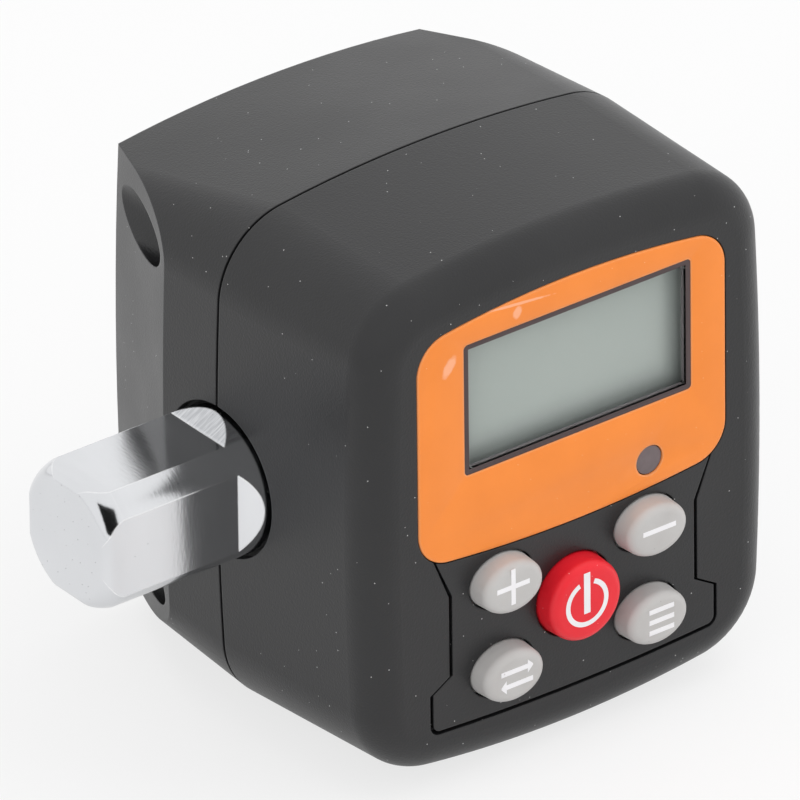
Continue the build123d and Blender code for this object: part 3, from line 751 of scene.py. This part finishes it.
keyShape = {
    "segments": 96,
    "flange": 0.65,
    "flangeFront": -21.4,
    "shoulder": -24.02,
    "draft": 0.14,
    "rim": 0.92,
    "rimSteps": 8,
    "crown": 0.01,  # the last rise, to the middle of the top
    "crownStep": 0.5,  # how far each of its two rings draws in
    "top": -24.975,
    "smoothUnder": 40,
}
keys = {
    "plus": {"at": (-35.1, -6.7), "radius": (3.72, 2.9), "slot": "grey_key"},
    "minus": {"at": (-17.7, -6.7), "radius": (3.72, 2.9), "slot": "grey_key"},
    "power": {"at": (-26.4, -11.4), "radius": (4.4, 4.4), "slot": "red_key"},
    "units": {"at": (-35.1, -16.5), "radius": (3.72, 2.9), "slot": "grey_key"},
    "mode": {"at": (-17.7, -16.5), "radius": (3.72, 2.9), "slot": "grey_key"},
}


def capSteps():  # depth, and how far the outline has drawn in
    steps = [(keyShape["flangeFront"], 0), (keyShape["shoulder"], keyShape["draft"])]
    for step in range(1, keyShape["rimSteps"] + 1):
        turn = math.radians(90 * step / keyShape["rimSteps"])
        y = keyShape["shoulder"] - keyShape["rim"] * math.sin(turn)
        steps.append((y, keyShape["draft"] + keyShape["rim"] * (1 - math.cos(turn))))
    for y in (keyShape["top"] + keyShape["crown"], keyShape["top"]):
        steps.append((y, steps[-1][1] + keyShape["crownStep"]))
    return steps


for name, key in keys.items():
    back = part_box("button_" + name)[1].y / mm
    x, z = key["at"]
    wide, tall = (radius + keyShape["flange"] for radius in key["radius"])
    bpy.ops.object.select_all(action="DESELECT")
    bpy.ops.mesh.primitive_cylinder_add(
        vertices=keyShape["segments"],
        radius=1,
        depth=1,
        location=(x * mm, (back + keyShape["flangeFront"]) / 2 * mm, z * mm),
        rotation=(math.pi / 2, 0, 0),
    )
    cap = bpy.context.object
    cap.name = name + "Cap"
    cap.scale = (wide * mm, tall * mm, (back - keyShape["flangeFront"]) * mm)
    settle(cap)
    pick(cap, lambda face: face.normal.y < -facing)
    depth = keyShape["flangeFront"]
    for y, drawn in capSteps():
        nextWide, nextTall = (radius - drawn for radius in key["radius"])
        extrudeBy(0, y - depth, 0)
        resizeAbout((nextWide / wide, 1, nextTall / tall), (x, y, z))
        wide, tall, depth = nextWide, nextTall, y
    leaveEdit()
    smooth(cap, keyShape["smoothUnder"])
    finishPiece(cap, "key_" + name, finishes[key["slot"]], key["slot"], "button_" + name)
print("keys made")


# printed marks on the keys: plain signs, in a thin white print

printShape = {"top": -25.0, "under": -24.96, "stroke": 0.52, "mergeGap": 0.0005}
marks = {
    "plus": {"at": (-35.45, -6.3), "arm": 1.95},
    "minus": {"at": (-17.8, -6.35), "arm": 1.98},
    "power": {
        "at": (-26.6, -11.3),
        "radius": 2.3,
        "gap": 22,
        "steps": 60,
        "start": 0.01,  # the thin block that the ring is spun from
        "barWidth": 0.76,
        "bar": (-12.45, -8.0),
    },
    "units": {"at": (-35.1, -16.4), "arm": 1.9, "apart": 0.75, "head": 0.62, "spread": 0.75, "point": 0.12},
    "mode": {"at": (-17.6, -16.4), "arm": 1.5, "apart": 1.15},
}
half = printShape["stroke"] / 2
signs = {}


def markBlock(name, x0, x1, z0, z1):
    return block(name, (x0, printShape["top"], z0), (x1, printShape["under"], z1))


def arrow(name, x, z, look, way):
    tip = x + way * look["arm"]
    sign = markBlock(name, x - look["arm"], x + look["arm"], z - half, z + half)
    pick(sign, lambda face: face.normal.x * way > facing)
    bpy.ops.transform.translate(value=(-way * look["head"] * mm, 0, 0))
    extrudeBy(0, 0, 0)
    resizeAbout((1, 1, (half + look["head"] * look["spread"]) / half), (tip - way * look["head"], 0, z))
    extrudeBy(way * look["head"], 0, 0)
    resizeAbout((1, 1, look["point"]), (tip, 0, z))
    leaveEdit()
    return sign


x, z = marks["plus"]["at"]
arm = marks["plus"]["arm"]
bars = [
    markBlock("plusBar", x - arm, x + arm, z - half, z + half),
    markBlock("plusBar", x - half, x + half, z + half, z + arm),
    markBlock("plusBar", x - half, x + half, z - arm, z - half),
]
signs["plus"] = joinAll("plusSign", bars)

x, z = marks["minus"]["at"]
signs["minus"] = markBlock("minusSign", x - half, x + half, z - half, z + half)
for way in (1, -1):
    pick(signs["minus"], lambda face: face.normal.x * way > facing)
    extrudeBy(way * (marks["minus"]["arm"] - half), 0, 0)
    leaveEdit()

look = marks["power"]
x, z = look["at"]
gap = math.radians(look["gap"])
ring = markBlock("powerRing", x - look["start"], x, z + look["radius"] - half, z + look["radius"] + half)
pick(ring, lambda face: face.normal.x < facing)
bpy.ops.mesh.delete(type="FACE")
bpy.ops.mesh.select_all(action="SELECT")
center = (x * mm, 0, z * mm)
bpy.ops.transform.rotate(value=gap, orient_axis="Y", center_override=center)
bpy.ops.mesh.spin(steps=look["steps"], angle=2 * math.pi - 2 * gap, center=center, axis=(0, 1, 0))
leaveEdit()
powerBar = markBlock("powerBar", x - look["barWidth"] / 2, x + look["barWidth"] / 2, *look["bar"])
signs["power"] = joinAll("powerSign", [ring, powerBar])

look = marks["units"]
x, z = look["at"]
upper = arrow("unitsUpper", x, z + look["apart"], look, 1)
lower = arrow("unitsLower", x, z - look["apart"], look, -1)
signs["units"] = joinAll("unitsSign", [upper, lower])

look = marks["mode"]
x, z = look["at"]
bars = []
for row in (-1, 0, 1):
    rowZ = z + row * look["apart"]
    bars.append(markBlock("modeBar", x - look["arm"], x + look["arm"], rowZ - half, rowZ + half))
signs["mode"] = joinAll("modeSign", bars)

for name, sign in signs.items():
    pick(sign, lambda face: True)
    bpy.ops.mesh.remove_doubles(threshold=printShape["mergeGap"] * mm)
    bpy.ops.mesh.normals_make_consistent(inside=False)
    leaveEdit()
    finishPiece(sign, "key_" + name, finishes["print"], keys[name]["slot"])
print("marks printed")


# label: one moulded plate with a softened rim

labelShape = {"rim": 0.1, "sharpOver": 40}
label = mergedCopy("display_label", "orangeLabel")
soften(label, labelShape["rim"], labelShape["sharpOver"])
smooth(label)
finishPiece(label, "housing", finishes["label"], "label", "display_label")
print("label made")


# display: the glass with its front film set back from the edge

displayShape = {"edge": 0.25, "filmEdge": 0.7, "filmDepth": 0.04}
low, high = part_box("lcd_glass")
display = block("displayPanel", low / mm, high / mm)
soften(display, displayShape["edge"])
pick(display, lambda face: face.normal.y < -facing)
bpy.ops.mesh.inset(thickness=displayShape["filmEdge"] * mm)
extrudeBy(0, displayShape["filmDepth"], 0)
leaveEdit()
smooth(display)
finishPiece(display, "housing", finishes["display"], "display", "lcd_glass")
print("display made")


# window border: the thin dark frame between the label and the pane, and the lining of the opening

borderShape = {
    "center": (-25.72, 13.33),
    "frame": {"outer": (27.26, 14.26), "front": -22.62, "back": -22.17},
    "lining": {"outer": (26.28, 13.28), "front": -22.6, "back": -21.72},
    "innerWidth": 26.14,
    "slack": 0.01,  # tells the face inside the rim from the rim itself
    "soft": 0.05,
    "sharpOver": 50,
}


def openFrame(name, size):
    x, z = borderShape["center"]
    halfX, halfZ = (side / 2 for side in size["outer"])
    rim = (size["outer"][0] - borderShape["innerWidth"]) / 2
    reach = (halfX - rim + borderShape["slack"]) * mm
    ring = block(name, (x - halfX, size["front"], z - halfZ), (x + halfX, size["back"], z + halfZ))

    def withinRim(face):
        across = max(abs(corner.co.x - x * mm) for corner in face.verts)
        return abs(face.normal.y) > facing and across < reach

    for way in (-1, 1):
        pick(ring, lambda face: face.normal.y * way > facing)
        bpy.ops.mesh.inset(thickness=rim * mm)
        leaveEdit()
    pick(ring, withinRim)
    bpy.ops.mesh.bridge_edge_loops()
    leaveEdit()
    return ring


rings = [openFrame("borderFrame", borderShape["frame"]), openFrame("borderLining", borderShape["lining"])]
border = joinAll("windowBorder", rings)
soften(border, borderShape["soft"], borderShape["sharpOver"])
smooth(border)
finishPiece(border, "housing", finishes["border"], "label")
print("border made")
